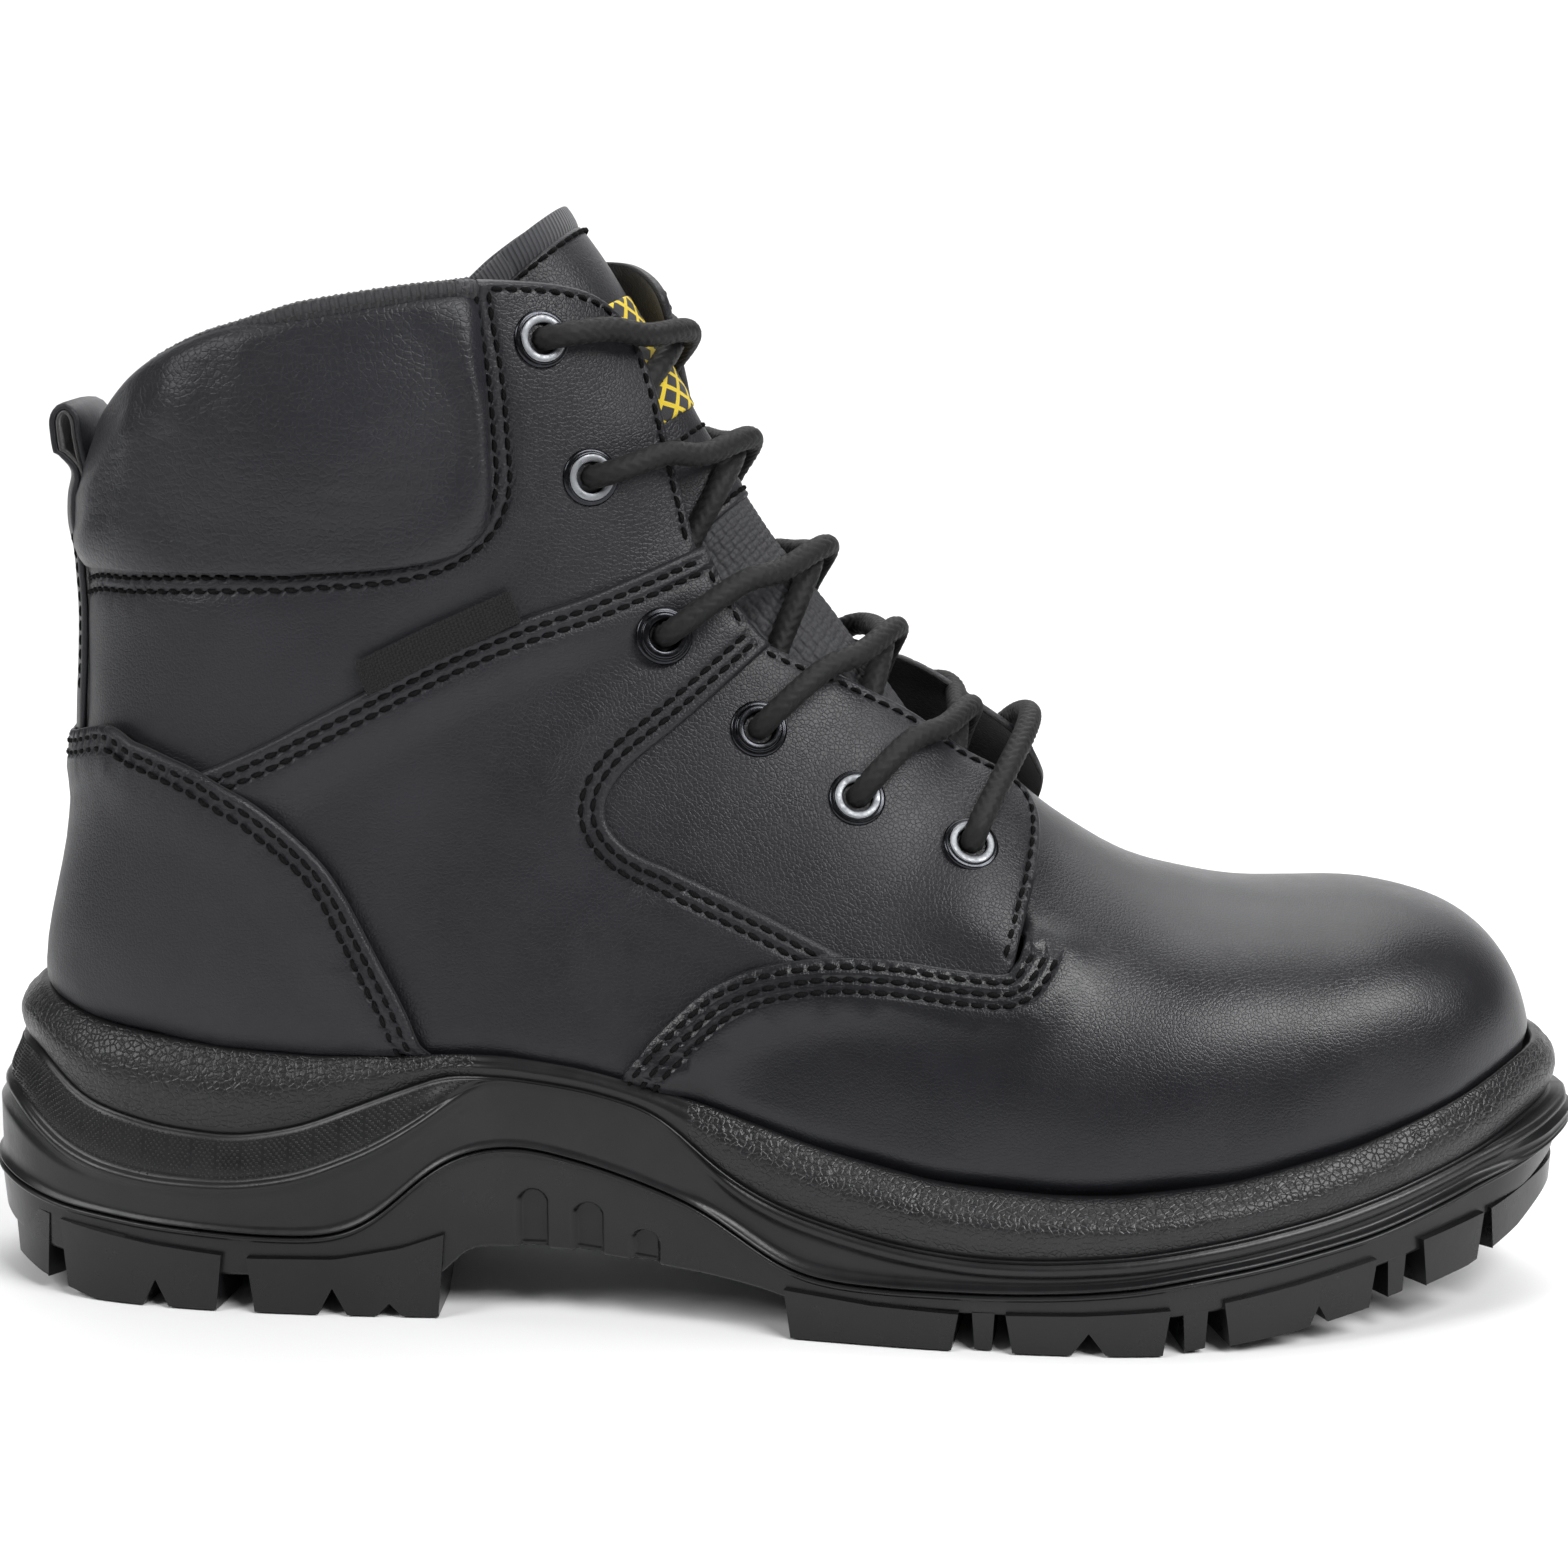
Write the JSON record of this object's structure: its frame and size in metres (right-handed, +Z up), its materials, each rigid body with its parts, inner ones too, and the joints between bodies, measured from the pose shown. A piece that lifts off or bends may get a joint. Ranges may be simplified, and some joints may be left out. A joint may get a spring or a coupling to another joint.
{
  "type": "safety boot",
  "caption": "Lace-up ankle-height safety boot, right foot: leather upper with padded collar, eyelets and lace, steel toe cap, moulded cleated sole, tilting tongue and lift-out footbed.",
  "frame": {"origin": "on the ground at the middle of the sole's length and width", "axes": "+X towards the toe, +Y towards the inner (medial) side of the foot, +Z up"},
  "size_m": [0.309, 0.1085, 0.2043],
  "materials": {
    "outsole_rubber": "moulded, semi-gloss",
    "midsole_pu": "moulded, textured bands",
    "steel": "satin",
    "board": "fibre board",
    "footbed_textile": "napped textile",
    "edge_rubber": "matte",
    "leather_smooth": "smooth grain, soft sheen",
    "lining_textile": "mesh textile",
    "foam": "open-cell foam",
    "leather_collar": "fine creased, soft",
    "knit_binding": "ribbed knit",
    "webbing": "woven",
    "label": "woven label, plain pattern",
    "eyelet_metal": "gunmetal gloss",
    "washer_metal": "plain",
    "lace_braid": "round braid",
    "aglet_plastic": "gloss"
  },
  "bodies": {
    "root": {"outsole": "outsole_rubber", "midsole": "midsole_pu", "puncture_plate": "steel", "steel_toecap": "steel", "insole_board": "board", "heel_stiffener": "board", "toecap_edge_strip": "edge_rubber", "vamp": "leather_smooth", "quarter_lateral": "leather_smooth", "quarter_medial": "leather_smooth", "upper_quarter_lateral": "leather_smooth", "upper_quarter_medial": "leather_smooth", "facing_lateral": "leather_smooth", "facing_medial": "leather_smooth", "heel_counter": "leather_smooth", "vamp_lining": "lining_textile", "quarter_lining_lateral": "lining_textile", "quarter_lining_medial": "lining_textile", "quarter_foam_lateral": "foam", "quarter_foam_medial": "foam", "collar_foam": "foam", "collar_cover": "leather_collar", "collar_binding": "knit_binding", "pull_tab": "webbing", "side_tag": "webbing", "eyelets_lateral": "eyelet_metal", "eyelets_medial": "eyelet_metal", "eyelet_washers_lateral": "washer_metal", "eyelet_washers_medial": "washer_metal", "lace": "lace_braid", "aglets": "aglet_plastic"},
    "tongue": {"tongue": "webbing", "tongue_patch": "leather_smooth", "tongue_label": "label", "tongue_binding": "knit_binding", "tongue_lace_keeper": "webbing"},
    "footbed": {"footbed": "footbed_textile"}
  },
  "joints": [
    {"name": "tongue_tilt", "type": "hinge", "parent": "root", "child": "tongue", "pos_m": [0.044, 0, 0.094], "axis": [0, -1, 0], "range_deg": [0, 8], "stiffness_Nm_per_rad": 1.5, "springref_deg": -1.72},
    {"name": "footbed_lift", "type": "hinge", "parent": "root", "child": "footbed", "pos_m": [0.126, 0, 0.034], "axis": [0, 1, 0], "range_deg": [0, 4]}
  ]
}
